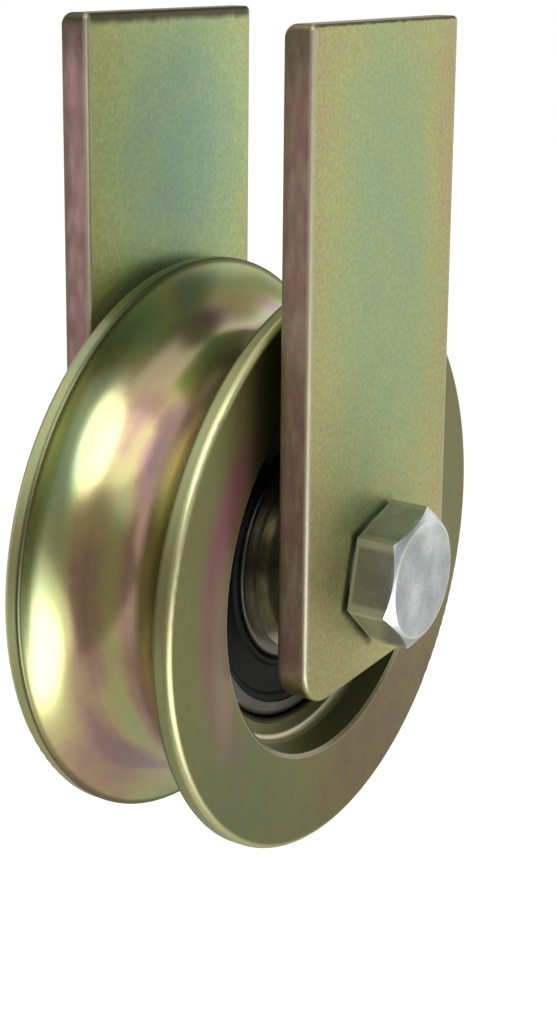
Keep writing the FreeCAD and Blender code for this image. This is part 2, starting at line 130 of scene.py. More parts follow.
def centred(tree, noise, amount):
    """Noise made to swing either side of nothing, by half of amount."""
    return product(tree, maths(tree, "SUBTRACT", noise, 0.5), amount)


def step_between(tree, value, low, high):
    """0 where value is at low and 1 where it is at high, with a soft step between them."""
    limits = {"Value": value, "From Min": low, "From Max": high}
    return add(tree, "ShaderNodeMapRange", limits, interpolation_type="SMOOTHSTEP").outputs["Result"]


def band_between(tree, value, rise, fall):
    """1 in a band that begins with one soft step and ends with another."""
    return product(tree, step_between(tree, value, *rise), step_between(tree, value, *fall))


def blended(tree, factor, first, second):
    """Two colours mixed by factor, as a socket."""
    made = add(tree, "ShaderNodeMix", data_type="RGBA", clamp_factor=True)
    for place, value in ((0, factor), (6, first), (7, second)):
        feed(tree, made.inputs[place], value)
    return made.outputs[2]


def shaded(tree, colour, brightness):
    """A colour made darker or lighter by a number."""
    return add(tree, "ShaderNodeVectorMath", {0: colour, "Scale": brightness}, operation="SCALE").outputs[0]


def fill_ramp(node, stops):
    """Gives a colour ramp its stops, as (place, colour) from 0 to 1."""
    elements = node.color_ramp.elements
    while len(elements) < len(stops):
        elements.new(0.5)
    for element, (place, colour) in zip(elements, stops):
        element.position = place
        element.color = colour


def screen_colour(red, green, blue):
    """A colour read off a screen, 0 to 255, as the linear colour that a shader takes."""
    return tuple(((c / 255 + 0.055) / 1.055) ** 2.4 if c > 10 else c / 3295 for c in (red, green, blue)) + (1.0,)


def new_group(name, inputs, outputs):
    """An empty node group with named sockets. Gives the tree, what comes in and what goes out."""
    tree = bpy.data.node_groups.new(name, "ShaderNodeTree")
    for label, kind, value in inputs:
        tree.interface.new_socket(label, in_out="INPUT", socket_type=kind).default_value = value
    for label, kind in outputs:
        tree.interface.new_socket(label, in_out="OUTPUT", socket_type=kind)
    print("node group:", name)
    return tree, tree.nodes.new("NodeGroupInput").outputs, tree.nodes.new("NodeGroupOutput").inputs


def use_group(tree, group, inputs):
    """Places a node group in tree with its own values."""
    made = tree.nodes.new("ShaderNodeGroup")
    made.node_tree = group
    for name, value in inputs.items():
        feed(tree, made.inputs[name], value)
    return made.outputs


NUMBER, VECTOR, COLOUR = "NodeSocketFloat", "NodeSocketVector", "NodeSocketColor"

# %% [markdown]
# Yellow passivation is a film less than a thousandth of a millimetre thick that zinc grows in a chromate bath. Light
# interferes in it, so its colour tells its thickness: mauve and tan where it is thin, then ochre, yellow-green, sage
# and a bluish teal, and rose where it is thickest. One colour ramp holds that order, and each piece only has to say
# how thick its film is from place to place.

# %% Node group: the colour of the film
film_tree, film_in, film_out = new_group("film_colour", [("Thickness", NUMBER, 0.5)], [("Color", COLOUR)])
FILM_STOPS = (
    (0.00, (150, 116, 118)),
    (0.14, (170, 138, 116)),
    (0.28, (186, 170, 116)),
    (0.42, (180, 184, 118)),
    (0.56, (162, 182, 130)),
    (0.72, (138, 170, 138)),
    (0.86, (122, 152, 142)),
    (1.00, (158, 104, 118)),
)
film_ramp = add(film_tree, "ShaderNodeValToRGB", {"Fac": film_in["Thickness"]})
fill_ramp(film_ramp, [(place, screen_colour(*colour)) for place, colour in FILM_STOPS])
film_tree.links.new(film_ramp.outputs["Color"], film_out["Color"])
print("film colours:", len(FILM_STOPS))

# %% [markdown]
# The film grows unevenly, in soft clouds. A patch is such a cloud: a stretched ball with a blurred, slightly ragged
# edge, placed by its centre and reach in millimetres. It is worked out from the point's distance to the centre, so it
# stays where it is on the piece however the piece moves.

# %% Node group: one soft patch
patch_tree, patch_in, patch_out = new_group(
    "soft_patch",
    [("Point", VECTOR, (0, 0, 0)), ("Centre", VECTOR, (0, 0, 0)), ("Reach", VECTOR, (10, 10, 10)),
     ("Blur", NUMBER, 0.5), ("Ragged", NUMBER, 0.2)],
    [("Mask", NUMBER)],
)
patch_away = vector_maths(patch_tree, "SUBTRACT", patch_in["Point"], patch_in["Centre"])["Vector"]
patch_share = vector_maths(patch_tree, "DIVIDE", patch_away, patch_in["Reach"])["Vector"]
patch_length = vector_maths(patch_tree, "LENGTH", patch_share)["Value"]
patch_shift = centred(patch_tree, noise_on(patch_tree, patch_in["Point"], 0.16, 3.0), patch_in["Ragged"])
patch_edge = total(patch_tree, patch_length, product(patch_tree, patch_shift, 2.0))
patch_outside = total(patch_tree, 1.0, patch_in["Blur"])
patch_inside = maths(patch_tree, "SUBTRACT", 1.0, patch_in["Blur"])
patch_tree.links.new(step_between(patch_tree, patch_edge, patch_outside, patch_inside), patch_out["Mask"])

# %% [markdown]
# Electroplated zinc is a skin of tiny crystals. From close by it glitters as a fine speckle, here two sizes of noise:
# one for the crystals and one for the slow unevenness of the rolled steel below them.

# %% Node group: plated speckle
speckle_tree, speckle_in, speckle_out = new_group(
    "plated_speckle",
    [("Point", VECTOR, (0, 0, 0)), ("Grains per mm", NUMBER, 2.0)],
    [("Speckle", NUMBER), ("Clouds", NUMBER)],
)
speckle_fine = noise_on(speckle_tree, speckle_in["Point"], speckle_in["Grains per mm"], 4.0, 0.65)
speckle_slow = noise_on(speckle_tree, speckle_in["Point"], 0.22, 2.0)
speckle_tree.links.new(speckle_fine, speckle_out["Speckle"])
speckle_tree.links.new(speckle_slow, speckle_out["Clouds"])

# %% [markdown]
# A part that was turned on a lathe keeps the track of the tool: very fine rings round its axle. They are noise that
# is read by distance from the axle and place along it, so it is the same all the way round.

# %% Node group: turned rings
rings_tree, rings_in, rings_out = new_group(
    "turned_rings",
    [("Point", VECTOR, (0, 0, 0)), ("Rings per mm", NUMBER, 3.0)],
    [("Rings", NUMBER), ("Radius", NUMBER)],
)
rings_apart = axes_of(rings_tree, rings_in["Point"])
rings_squares = [maths(rings_tree, "POWER", rings_apart[axis], 2.0) for axis in "XZ"]
rings_radius = maths(rings_tree, "SQRT", total(rings_tree, *rings_squares))
rings_place = add(rings_tree, "ShaderNodeCombineXYZ", {"X": rings_radius, "Y": rings_apart["Y"]}).outputs[0]
rings_noise = noise_on(rings_tree, rings_place, rings_in["Rings per mm"], 3.0, 0.6)
rings_tree.links.new(rings_noise, rings_out["Rings"])
rings_tree.links.new(rings_radius, rings_out["Radius"])

# %% [markdown]
# Grime and bright edges round the bolt's head follow its hexagon. A point's reach is how far out it lies along
# whichever of the three pairs of flats is nearest, so a value a little over half the flats is a thin hexagonal line.

# %% Node group: reach from the axle on a hexagon
HEAD_FLATS_TURNS = (46, 106, 166)
HEAD_HALF_FLATS = 8.5
hexagon_tree, hexagon_in, hexagon_out = new_group(
    "hexagon_reach", [("Point", VECTOR, (0, 0, 0))], [("Reach", NUMBER)]
)
hexagon_reach = 0.0
for turn in HEAD_FLATS_TURNS:
    flat_way = (math.cos(math.radians(turn)), 0.0, math.sin(math.radians(turn)))
    along_way = vector_maths(hexagon_tree, "DOT_PRODUCT", hexagon_in["Point"], flat_way)["Value"]
    hexagon_reach = maths(hexagon_tree, "MAXIMUM", hexagon_reach, maths(hexagon_tree, "ABSOLUTE", along_way))
hexagon_tree.links.new(hexagon_reach, hexagon_out["Reach"])

# %% [markdown]
# Every finish starts the same way: a new material, the point on the piece in millimetres, and the shader. From there
# on each finish is its own graph.

# %% Helper: start a material
def new_material(name, **shader_values):
    """A material with its shader's plain values set. Gives it, its tree, its shader and the point in millimetres."""
    material = bpy.data.materials.new(name)
    material.use_nodes = True
    tree = material.node_tree
    shader = tree.nodes["Principled BSDF"]
    for label, value in shader_values.items():
        shader.inputs[label.replace("_", " ")].default_value = value
    place = add(tree, "ShaderNodeTexCoord").outputs["Object"]
    point = add(tree, "ShaderNodeVectorMath", {0: place, "Scale": 1000.0}, operation="SCALE").outputs[0]
    return material, tree, shader, point


PATCH_BLUR = 0.55


def patched(tree, point, base, patches, ragged=0.25):
    """A value that is base, plus what each (centre, reach, change) patch adds."""
    value = base
    for centre, reach, change in patches:
        own = {"Point": point, "Centre": centre, "Reach": reach, "Blur": PATCH_BLUR, "Ragged": ragged}
        value = total(tree, value, product(tree, use_group(tree, patch_tree, own)["Mask"], change))
    return value


def speckle_on(tree, point, grains):
    """The plated speckle, with so many grains a millimetre."""
    return use_group(tree, speckle_tree, {"Point": point, "Grains per mm": grains})


def mottled(tree, speckle):
    """Speckle and clouds added up, for how far a spot is towards the lighter colour."""
    return total(tree, product(tree, speckle["Speckle"], 0.5), product(tree, speckle["Clouds"], 0.6))


def feed_roughness(tree, shader, base, speckle, swing):
    """Gives the shader a roughness that rises from base with the speckle."""
    tree.links.new(total(tree, base, product(tree, speckle["Speckle"], swing)), shader.inputs["Roughness"])


def feed_bump(tree, shader, height, strength, distance):
    """Gives the shader a surface that rises and falls with height."""
    bump = add(tree, "ShaderNodeBump", {"Height": height, "Strength": strength, "Distance": distance})
    tree.links.new(bump.outputs["Normal"], shader.inputs["Normal"])


def paint(material, *names):
    """Puts a material on CAD nodes, over the whole of each."""
    for name in names:
        slots = nodes[name].data.materials
        slots.clear()
        slots.append(material)
    print(material.name, "on", ", ".join(names))


# %% [markdown]
# The straps are lengths of flat bar, sheared to size and plated. Their broad faces show the film's clouds: ochre near
# the edges, where the current of the bath is strongest, and sage to teal in the middle. The sheared edges are rougher
# and took a thin, mauve-brown film, and the arris on the burr side is rubbed bright and carries a painted highlight
# along its rounded corner. Painted light and shade lie on the straps too: lighter and darker patches on the faces,
# painted shade at the top of the sides, a painted shadow round the bolt's head and painted shade at the lower end.
# Each of these is a mask made from the point's place on the strap, because a mask that is measured follows the real
# edge exactly.

# %% Finish of the straps
STRAP_HALF_WIDTH = 19.2
STRAP_TOP = 75.0
FRONT_STRAP_FACE = -19.5
REAR_STRAP_FACE = 15.0
HEAD_SHADOW_PATCHES = [((-9, -19.5, 3), (6, 3, 9), 0.5), ((-2, -19.5, -9), (8, 3, 4), 0.4)]


def strap_finish(name, burr_face, base, patches, painted_light, edge_colours, end_colour, end_depth):
    """A strap's finish. burr_face is the y of its burr side, painted_light its patches of painted light and shade, and
    end_depth how far the dark end reaches, in mm.
    """
    material, tree, shader, point = new_material(name, Metallic=0.92)
    apart = axes_of(tree, point)
    speckle = speckle_on(tree, point, 1.7)
    thickness = patched(tree, point, base, patches)
    thickness = total(tree, thickness, centred(tree, speckle["Clouds"], 0.14))
    thickness = total(tree, thickness, centred(tree, speckle["Speckle"], 0.17), clamp=True)
    colour = use_group(tree, film_tree, {"Thickness": thickness})["Color"]
    colour = blended(tree, 0.14, colour, screen_colour(178, 178, 156))
    glitter = total(tree, 0.92, product(tree, step_between(tree, speckle["Speckle"], 0.30, 0.72), 0.30))
    # painted light and shade: these patches make the faces lighter or darker where the light falls on them
    colour = shaded(tree, colour, product(tree, glitter, patched(tree, point, 1.0, painted_light)))
    # painted shadow in the joint round the bolt's head, darkest to its left and below
    reach = use_group(tree, hexagon_tree, {"Point": point})["Reach"]
    near_head = step_between(tree, reach, HEAD_HALF_FLATS + 1.2, HEAD_HALF_FLATS + 0.2)
    on_front = step_between(tree, apart["Y"], FRONT_STRAP_FACE + 0.5, FRONT_STRAP_FACE + 0.1)
    head_shadow = product(tree, product(tree, near_head, on_front), patched(tree, point, 0.3, HEAD_SHADOW_PATCHES))
    colour = blended(tree, head_shadow, colour, screen_colour(58, 56, 40))
    # the sheared sides, with the shear's fine lines along them
    across = maths(tree, "ABSOLUTE", apart["X"])
    side = step_between(tree, across, STRAP_HALF_WIDTH - 0.35, STRAP_HALF_WIDTH - 0.05)
    drawn_out = add(tree, "ShaderNodeMapping", {"Vector": point, "Scale": (1.0, 1.0, 0.3)}).outputs[0]
    grain = noise_on(tree, drawn_out, 0.9, 4.0)
    side_colour = blended(tree, step_between(tree, grain, 0.2, 0.8), *edge_colours)
    mauve = product(tree, step_between(tree, speckle["Clouds"], 0.42, 0.68), 0.45)
    side_colour = blended(tree, mauve, side_colour, screen_colour(152, 108, 110))
    from_face = maths(tree, "ABSOLUTE", maths(tree, "SUBTRACT", apart["Y"], burr_face))
    outer_stripe = step_between(tree, total(tree, from_face, centred(tree, grain, 1.6)), 2.6, 3.8)
    side_colour = blended(tree, product(tree, outer_stripe, 0.45), side_colour, screen_colour(116, 114, 92))
    # painted shade darkens the sides towards the top
    top_shade = step_between(tree, total(tree, apart["Z"], centred(tree, grain, 3.0)), 66.0, 73.5)
    side_colour = blended(tree, product(tree, top_shade, 0.6), side_colour, screen_colour(84, 84, 62))
    colour = blended(tree, side, colour, side_colour)
    # the sheared end
    end_edge = total(tree, apart["Z"], centred(tree, grain, 0.8))
    end = step_between(tree, end_edge, STRAP_TOP - end_depth, STRAP_TOP - end_depth * 0.4)
    colour = blended(tree, end, colour, end_colour)
    # painted shade on the lower end
    low_end_shade = product(tree, step_between(tree, from_face, 0.4, 1.0), step_between(tree, apart["Z"], -8.5, -12.0))
    colour = blended(tree, product(tree, low_end_shade, 0.8), colour, screen_colour(52, 48, 34))
    # the arris of the burr side, rubbed bright and with a painted highlight on its rounded corner, ragged on the face
    # and clean on the corner
    near_face = step_between(tree, from_face, 0.75, 0.45)
    ragged = total(tree, across, centred(tree, speckle["Speckle"], 0.9))
    near_side = step_between(tree, ragged, STRAP_HALF_WIDTH - 1.1, STRAP_HALF_WIDTH - 0.45)
    arris_wear_and_highlight = product(tree, near_face, near_side)
    colour = blended(tree, product(tree, arris_wear_and_highlight, 0.62), colour, screen_colour(186, 186, 164))
    tree.links.new(colour, shader.inputs["Base Color"])
    rough = total(tree, 0.36, product(tree, speckle["Speckle"], 0.12))
    rough = total(tree, rough, product(tree, side, 0.12))
    tree.links.new(rough, shader.inputs["Roughness"])
    height = total(tree, speckle["Speckle"], product(tree, product(tree, grain, side), 1.5))
    feed_bump(tree, shader, height, 0.35, 0.00012)
    return material


MAUVE_EDGE = (screen_colour(200, 168, 168), screen_colour(168, 140, 134))
BROWN_EDGE = (screen_colour(172, 154, 136), screen_colour(142, 120, 106))
paint(
    strap_finish(
        "passivated_strap_front", FRONT_STRAP_FACE, 0.30,
        [((0.5, -19.5, 42), (16, 12, 46), 0.22), ((0.5, -19.5, 46), (9, 12, 22), 0.07),
         ((17, -19.5, 56), (5, 12, 14), -0.08), ((-12, -19.5, -6), (12, 12, 12), 0.02)],
        [((0, -19.5, 44), (40, 12, 50), -0.14), ((2, -19.5, 58), (26, 12, 30), 0.06),
         ((-12, -19.5, 0), (14, 12, 22), -0.26)],
        BROWN_EDGE, screen_colour(120, 112, 78), 0.5,
    ),
    "plate_front",
)
paint(
    strap_finish(
        "passivated_strap_rear", REAR_STRAP_FACE, 0.42,
        [((1.5, 15, 57), (16, 12, 20), 0.20), ((3, 15, 61), (11, 12, 12), 0.08), ((0, 15, 40), (14, 12, 16), 0.08)],
        [((17, 15, 52), (12, 12, 30), 0.14), ((-14, 15, 30), (14, 12, 16), 0.16)],
        MAUVE_EDGE, screen_colour(92, 90, 66), 2.0,
    ),
    "plate_rear",
)

# %% [markdown]
# The wheel is turned steel, polished in its groove by the tool and by the rail. Its film follows the lathe: bands
# across the groove from green at the walls to a pinkish brown at the bottom. A rose band on the flat of the near side
# is a painted reflection, the flats, the groove's near wall and its lips carry painted shade for the dim room that
# they mirror, and the pale lines along the rims' broken edges are painted highlights. Radius and place along the axle
# are all that is needed to lay the bands, and a few patches break them up round the wheel. The recess round the
# bearing was never polished and is dull; it is painted darker for its shade, with painted shade in its corner and
# painted highlights on its step and mouth.

# %% Finish of the wheel
WHEEL_HALF_WIDTH = 13.0
RECESS_RADIUS = 27.2
GROOVE_LIP = 10.5

# thickness of the film across the groove, from the near lip to the far one, as (place along the axle in mm, thickness)
GROOVE_BANDS = (
    (-10.5, 0.45), (-5.0, 0.34), (-2.6, 0.12), (-0.4, 0.17), (1.8, 0.42),
    (3.2, 0.24), (5.0, 0.12), (6.6, 0.16), (8.0, 0.44), (10.5, 0.50),
)
# and the clouds that break the bands up on their way round
GROOVE_CLOUDS = [
    ((-28, 6, 18), (9, 5, 9), 0.20), ((-26, 9, -27), (14, 4, 12), -0.30), ((-14, 7, 33), (13, 5, 8), 0.16),
    ((-24.5, 2.2, 20.5), (6, 3, 8), -0.26), ((-28, 3.5, -17), (6, 2.4, 6), 0.15), ((4, 6, 34), (6, 5, 6), 0.14),
    ((-3, 4, 34), (4, 4, 4), -0.14),
]
DULL_CLOUD = [((-14, 8, 33), (15, 6, 9), 0.55)]
FLAT_CLOUDS = [((-24, -13, -24), (12, 9, 12), 0.10), ((18, -13, -30), (20, 9, 14), -0.18)]
ROSE_REFLECTION_PATCHES = [((-30, -13, 5), (9, 6, 25), 0.58), ((-28, -13, 15), (8, 6, 10), 0.34)]
PALE_CLOUD = [((-28.0, -13, -3), (2.4, 6, 12), 0.75)]


def wheel_finish():
    """The wheel's finish, from its groove to its recess."""
    material, tree, shader, point = new_material("passivated_wheel", Metallic=1.0)
    apart = axes_of(tree, point)
    rings = use_group(tree, rings_tree, {"Point": point, "Rings per mm": 2.2})
    radius = rings["Radius"]
    speckle = speckle_on(tree, point, 1.4)
    across = maths(tree, "ABSOLUTE", apart["Y"])
    # the groove: its bands wander a little along the axle on their way round
    along = total(tree, apart["Y"], centred(tree, noise_on(tree, point, 0.05, 1.0), 5.0))
    place = maths(tree, "DIVIDE", total(tree, along, GROOVE_LIP), GROOVE_LIP * 2)
    bands = add(tree, "ShaderNodeValToRGB", {"Fac": place})
    fill_ramp(bands, [((spot + GROOVE_LIP) / (GROOVE_LIP * 2), (thick,) * 3 + (1.0,)) for spot, thick in GROOVE_BANDS])
    groove = patched(tree, point, bands.outputs["Color"], GROOVE_CLOUDS)
    groove = total(tree, groove, centred(tree, rings["Rings"], 0.10))
    # the flat sides
    flat = patched(tree, point, 0.41, FLAT_CLOUDS)
    side = step_between(tree, across, WHEEL_HALF_WIDTH - 0.45, WHEEL_HALF_WIDTH - 0.15)
    thickness = add(tree, "ShaderNodeMix", {0: side, 2: groove, 3: flat}, data_type="FLOAT").outputs[0]
    thickness = total(tree, thickness, centred(tree, speckle["Clouds"], 0.24))
    thickness = total(tree, thickness, centred(tree, speckle["Speckle"], 0.10), clamp=True)
    colour = use_group(tree, film_tree, {"Thickness": thickness})["Color"]
    washed = blended(tree, 0.12, colour, screen_colour(214, 206, 196))
    washed = blended(tree, patched(tree, point, 0.0, DULL_CLOUD), washed, screen_colour(140, 138, 124))
    # painted shade on the groove's near wall
    near_wall_shade = product(tree, step_between(tree, apart["Y"], -4.0, -6.2), step_between(tree, radius, 29.0, 31.0))
    washed = shaded(tree, washed, maths(tree, "SUBTRACT", 1.0, product(tree, near_wall_shade, 0.30)))
    flat_colour = blended(tree, 0.16, colour, screen_colour(158, 148, 128))
    # painted shade: the flat sides are a darker copy of the film's colour, for the dim room that they mirror, with the
    # plated speckle in it
    grain = total(tree, 0.39, product(tree, speckle["Speckle"], 0.16))
    colour = blended(tree, side, washed, shaded(tree, flat_colour, grain))
    # a painted reflection: a rose band on the near flat
    band = band_between(tree, radius, (27.4, 30.0), (35.4, 31.4))
    window = patched(tree, point, 0.0, ROSE_REFLECTION_PATCHES, ragged=0.2)
    rose_reflection = product(tree, product(tree, band, window), side)
    colour = blended(tree, rose_reflection, colour, screen_colour(146, 98, 108))
    # a pale beige cloud between it and the recess
    pale = patched(tree, point, 0.0, PALE_CLOUD, ragged=0.15)
    colour = blended(tree, product(tree, pale, side), colour, screen_colour(154, 138, 118))
    # the recess, dull and painted darker for its shade, painted shade in its corner and painted highlights on its
    # edges
    recess = step_between(tree, radius, RECESS_RADIUS + 0.1, RECESS_RADIUS - 0.1)
    recess_wall = step_between(tree, radius, 25.6, 26.6)
    recess_shade = total(tree, 0.36, product(tree, recess_wall, 0.34))
    colour = blended(tree, recess, colour, shaded(tree, colour, recess_shade))
    # a painted highlight on the fillet of the recess's step
    step = product(tree, step_between(tree, radius, 25.5, 25.9), step_between(tree, across, 9.1, 8.7))
    step = product(tree, step, recess)
    colour = blended(tree, product(tree, step, 0.85), colour, screen_colour(226, 220, 196))
    # a painted highlight on the chamfer of the recess's mouth
    mouth_highlight = band_between(tree, radius, (27.05, 27.25), (27.8, 27.6))
    colour = blended(tree, product(tree, mouth_highlight, 0.7), colour, screen_colour(190, 180, 156))
    # painted shade in the corner between the recess and the bearing
    corner = product(tree, step_between(tree, radius, 24.1, 23.6), recess)
    colour = blended(tree, corner, colour, screen_colour(26, 25, 20))
    rim = step_between(tree, radius, 39.0, 39.6)
    # painted highlights on the rims' broken edges
    rim_edge_highlight = product(tree, rim, step_between(tree, across, WHEEL_HALF_WIDTH - 1.0, WHEEL_HALF_WIDTH - 0.5))
    colour = blended(tree, product(tree, rim_edge_highlight, 0.6), colour, screen_colour(214, 214, 168))
    # painted shade on the groove's lips
    lip_shade = product(tree, band_between(tree, across, (9.5, 10.2), (11.1, 10.7)), rim)
    colour = blended(tree, product(tree, lip_shade, 0.7), colour, screen_colour(70, 66, 40))
    tree.links.new(colour, shader.inputs["Base Color"])
    rough = total(tree, 0.17, product(tree, speckle["Speckle"], 0.08))
    rough = total(tree, rough, product(tree, side, 0.10))
    rough = total(tree, rough, product(tree, rim, 0.12))
    rough = total(tree, rough, product(tree, recess, 0.14))
    tree.links.new(rough, shader.inputs["Roughness"])
    feed_bump(tree, shader, rings["Rings"], 0.08, 0.00006)
    return material


paint(wheel_finish(), "wheel")

# %% [markdown]
# The bolt and the nut are bought parts with clear passivation: a cool silver grey with a faint blue. The nut's ring is
# nylon, which grips the thread. The bushes are turned from bar and plated with the straps.

# %% Finish of the bolt, the nut and the bushes
PLATED_GRAINS = 2.5
FACE_BLOTCHES = [((2.5, -26.5, 5.4), (3.0, 2, 2.2), 0.17), ((-2.8, -26.5, -2.8), (1.6, 2, 2.0), 0.20)]
FLATS_LIGHT_AND_SHADE = [((-1.5, -23, 8.6), (7, 5, 1.6), 0.60), ((-8.9, -24, -0.5), (1.2, 3, 4), -0.10)]


def plated_finish(name, light, dark, roughness):
    """A plain plated finish between two screen colours, with a fine speckle."""
    material, tree, shader, point = new_material(name, Metallic=0.95)
    speckle = speckle_on(tree, point, PLATED_GRAINS)
    share = step_between(tree, mottled(tree, speckle), 0.35, 0.75)
    colour = blended(tree, share, screen_colour(*dark), screen_colour(*light))
    tree.links.new(colour, shader.inputs["Base Color"])
    feed_roughness(tree, shader, roughness, speckle, 0.16)
    feed_bump(tree, shader, speckle["Speckle"], 0.25, 0.00008)
    return material


def bolt_finish():
    """The bolt: clear plate, blotched on its face, brown on its flats, with painted light and shade on the flats and
    painted highlights along its edges.
    """
    material, tree, shader, point = new_material("zinc_bolt", Metallic=0.95)
    along = axes_of(tree, point)["Y"]
    speckle = speckle_on(tree, point, PLATED_GRAINS)
    radius = use_group(tree, rings_tree, {"Point": point})["Radius"]
    reach = use_group(tree, hexagon_tree, {"Point": point})["Reach"]
    share = step_between(tree, patched(tree, point, mottled(tree, speckle), FACE_BLOTCHES, ragged=0.6), 0.36, 0.92)
    colour = blended(tree, share, screen_colour(166, 174, 178), screen_colour(222, 228, 230))
    flats = step_between(tree, reach, HEAD_HALF_FLATS - 0.10, HEAD_HALF_FLATS - 0.04)
    flats = product(tree, flats, step_between(tree, along, -26.0, -25.5))
    colour = blended(tree, product(tree, flats, 0.40), colour, screen_colour(156, 146, 118))
    # painted light and shade: the upper flat lighter, the left one darker
    colour = shaded(tree, colour, patched(tree, point, 1.0, FLATS_LIGHT_AND_SHADE))
    # painted highlights along the head's corners, the rim of its face and the edges of its flats
    corner = step_between(tree, total(tree, radius, centred(tree, speckle["Speckle"], 0.25)), 9.16, 9.50)
    face_rim = band_between(tree, radius, (7.80, 8.02), (8.45, 8.15))
    bolt_edge_highlight = maths(tree, "MAXIMUM", corner, product(tree, face_rim, step_between(tree, along, -26.2, -26.4)))
    bolt_edge_highlight = maths(tree, "MAXIMUM", bolt_edge_highlight, product(tree, flats, step_between(tree, along, -20.7, -20.3)))
    colour = blended(tree, product(tree, bolt_edge_highlight, 0.65), colour, screen_colour(240, 242, 232))
    tree.links.new(colour, shader.inputs["Base Color"])
    feed_roughness(tree, shader, 0.24, speckle, 0.16)
    feed_bump(tree, shader, speckle["Speckle"], 0.25, 0.00008)
    return material


bolt_material = bolt_finish()
paint(bolt_material, "bolt")
paint(plated_finish("zinc_nut", (204, 206, 200), (150, 154, 150), 0.26), "lock_nut")
paint(plated_finish("passivated_bush", (172, 168, 142), (120, 116, 96), 0.26), "bush_front", "bush_rear")

# %% [markdown]
# Only the last of the bolt's thread shows, at its end past the nut's nylon ring. In the CAD model the thread is a
# plain cylinder at half its depth, so one tooth is added here: a flat blade narrowed to a ridge, swept round the axle
# along a helix with the Screw modifier. Its last bit is squeezed towards the core, as the die leaves it.

# %% Thread at the bolt's end
THREAD_PITCH = 0.0015
THREAD_CORE = 0.0045
THREAD_CREST = 0.0049
THREAD_MIDDLE = (THREAD_CREST + THREAD_CORE) / 2
THREAD_START = 0.02810
THREAD_TURNS = 1.25
RIDGE_SHARE = 0.25
SQUEEZED_CREST = THREAD_CORE + 0.00012


def pick_corners(piece, chosen):
    """Selects the corners of piece whose place passes chosen, and nothing else, and goes into edit mode."""
    for elements in (piece.data.vertices, piece.data.edges, piece.data.polygons):
        elements.foreach_set("select", [False] * len(elements))
    for corner in piece.data.vertices:
        corner.select = chosen(corner.co)
    bpy.ops.object.mode_set(mode="EDIT")


bpy.ops.object.select_all(action="DESELECT")
bpy.ops.mesh.primitive_plane_add(size=1.0, location=(0, 0, 0))
thread = bpy.context.object
thread.name = "bolt_thread"
# the blade, half a pitch wide at the core and a ridge at the crest
bpy.ops.object.mode_set(mode="EDIT")
bpy.ops.transform.resize(value=(THREAD_CREST - THREAD_CORE, THREAD_PITCH * 0.5, 1.0))
bpy.ops.transform.translate(value=(THREAD_MIDDLE, THREAD_START, 0.0))
bpy.ops.object.mode_set(mode="OBJECT")
pick_corners(thread, lambda place: place.x > THREAD_MIDDLE)
bpy.ops.transform.resize(value=(1.0, RIDGE_SHARE, 1.0), center_override=(0.0, THREAD_START, 0.0))
bpy.ops.mesh.select_all(action="SELECT")
bpy.ops.mesh.delete(type="ONLY_FACE")
bpy.ops.object.mode_set(mode="OBJECT")
# the helix
sweep = thread.modifiers.new("sweep", "SCREW")
sweep.axis = "Y"
sweep.angle = math.tau * THREAD_TURNS
sweep.screw_offset = THREAD_PITCH * THREAD_TURNS
sweep.steps = sweep.render_steps = 60
bpy.ops.object.modifier_apply(modifier=sweep.name)
bpy.ops.object.mode_set(mode="EDIT")
bpy.ops.mesh.select_all(action="SELECT")
bpy.ops.mesh.fill_holes(sides=4)
bpy.ops.mesh.normals_make_consistent(inside=False)
bpy.ops.object.mode_set(mode="OBJECT")
# the squeezed end
squeeze_from = max(corner.co.y for corner in thread.data.vertices) - THREAD_PITCH * 0.27
pick_corners(
    thread, lambda place: math.hypot(place.x, place.z) > THREAD_CORE + 0.0001 and place.y > squeeze_from
)
squeeze = SQUEEZED_CREST / THREAD_CREST
bpy.ops.transform.resize(value=(squeeze, 1.0, squeeze), center_override=(0.0, 0.0, 0.0))
bpy.ops.object.mode_set(mode="OBJECT")
bpy.ops.object.shade_smooth_by_angle(angle=math.radians(30))
thread.data.materials.append(bolt_material)
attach(thread, "bracket")
thread_end = max(corner.co.y for corner in thread.data.vertices)
print("thread, faces:", len(thread.data.polygons), "end, mm:", round(thread_end * 1000, 2))

# %% [markdown]
# The ball bearing has ground steel rings, pressed steel cages and moulded rubber seals. Ground steel is smooth and
# neutral with fine rings, rubber is black with a slight bloom that makes it look bluish, and the balls are mirrors.

# %% Finish of the bearing
def steel_finish(name, light, dark, roughness, ring_share=1.0, dim_from=100.0):
    """Ground or pressed steel between two screen colours, with turned rings, and darker past the radius dim_from."""
    material, tree, shader, point = new_material(name, Metallic=1.0)
    rings = use_group(tree, rings_tree, {"Point": point, "Rings per mm": 4.0})
    speckle = speckle_on(tree, point, 3.0)
    share = total(tree, product(tree, rings["Rings"], 0.6 * ring_share), product(tree, speckle["Clouds"], 0.5))
    colour = blended(tree, step_between(tree, share, 0.3, 0.8), screen_colour(*dark), screen_colour(*light))
    dim = product(tree, step_between(tree, rings["Radius"], dim_from, dim_from + 0.4), 0.65)
    colour = blended(tree, dim, colour, screen_colour(50, 50, 46))
    tree.links.new(colour, shader.inputs["Base Color"])
    feed_roughness(tree, shader, roughness, speckle, 0.1)
    feed_bump(tree, shader, rings["Rings"], 0.12 * ring_share, 0.00005)
    return material


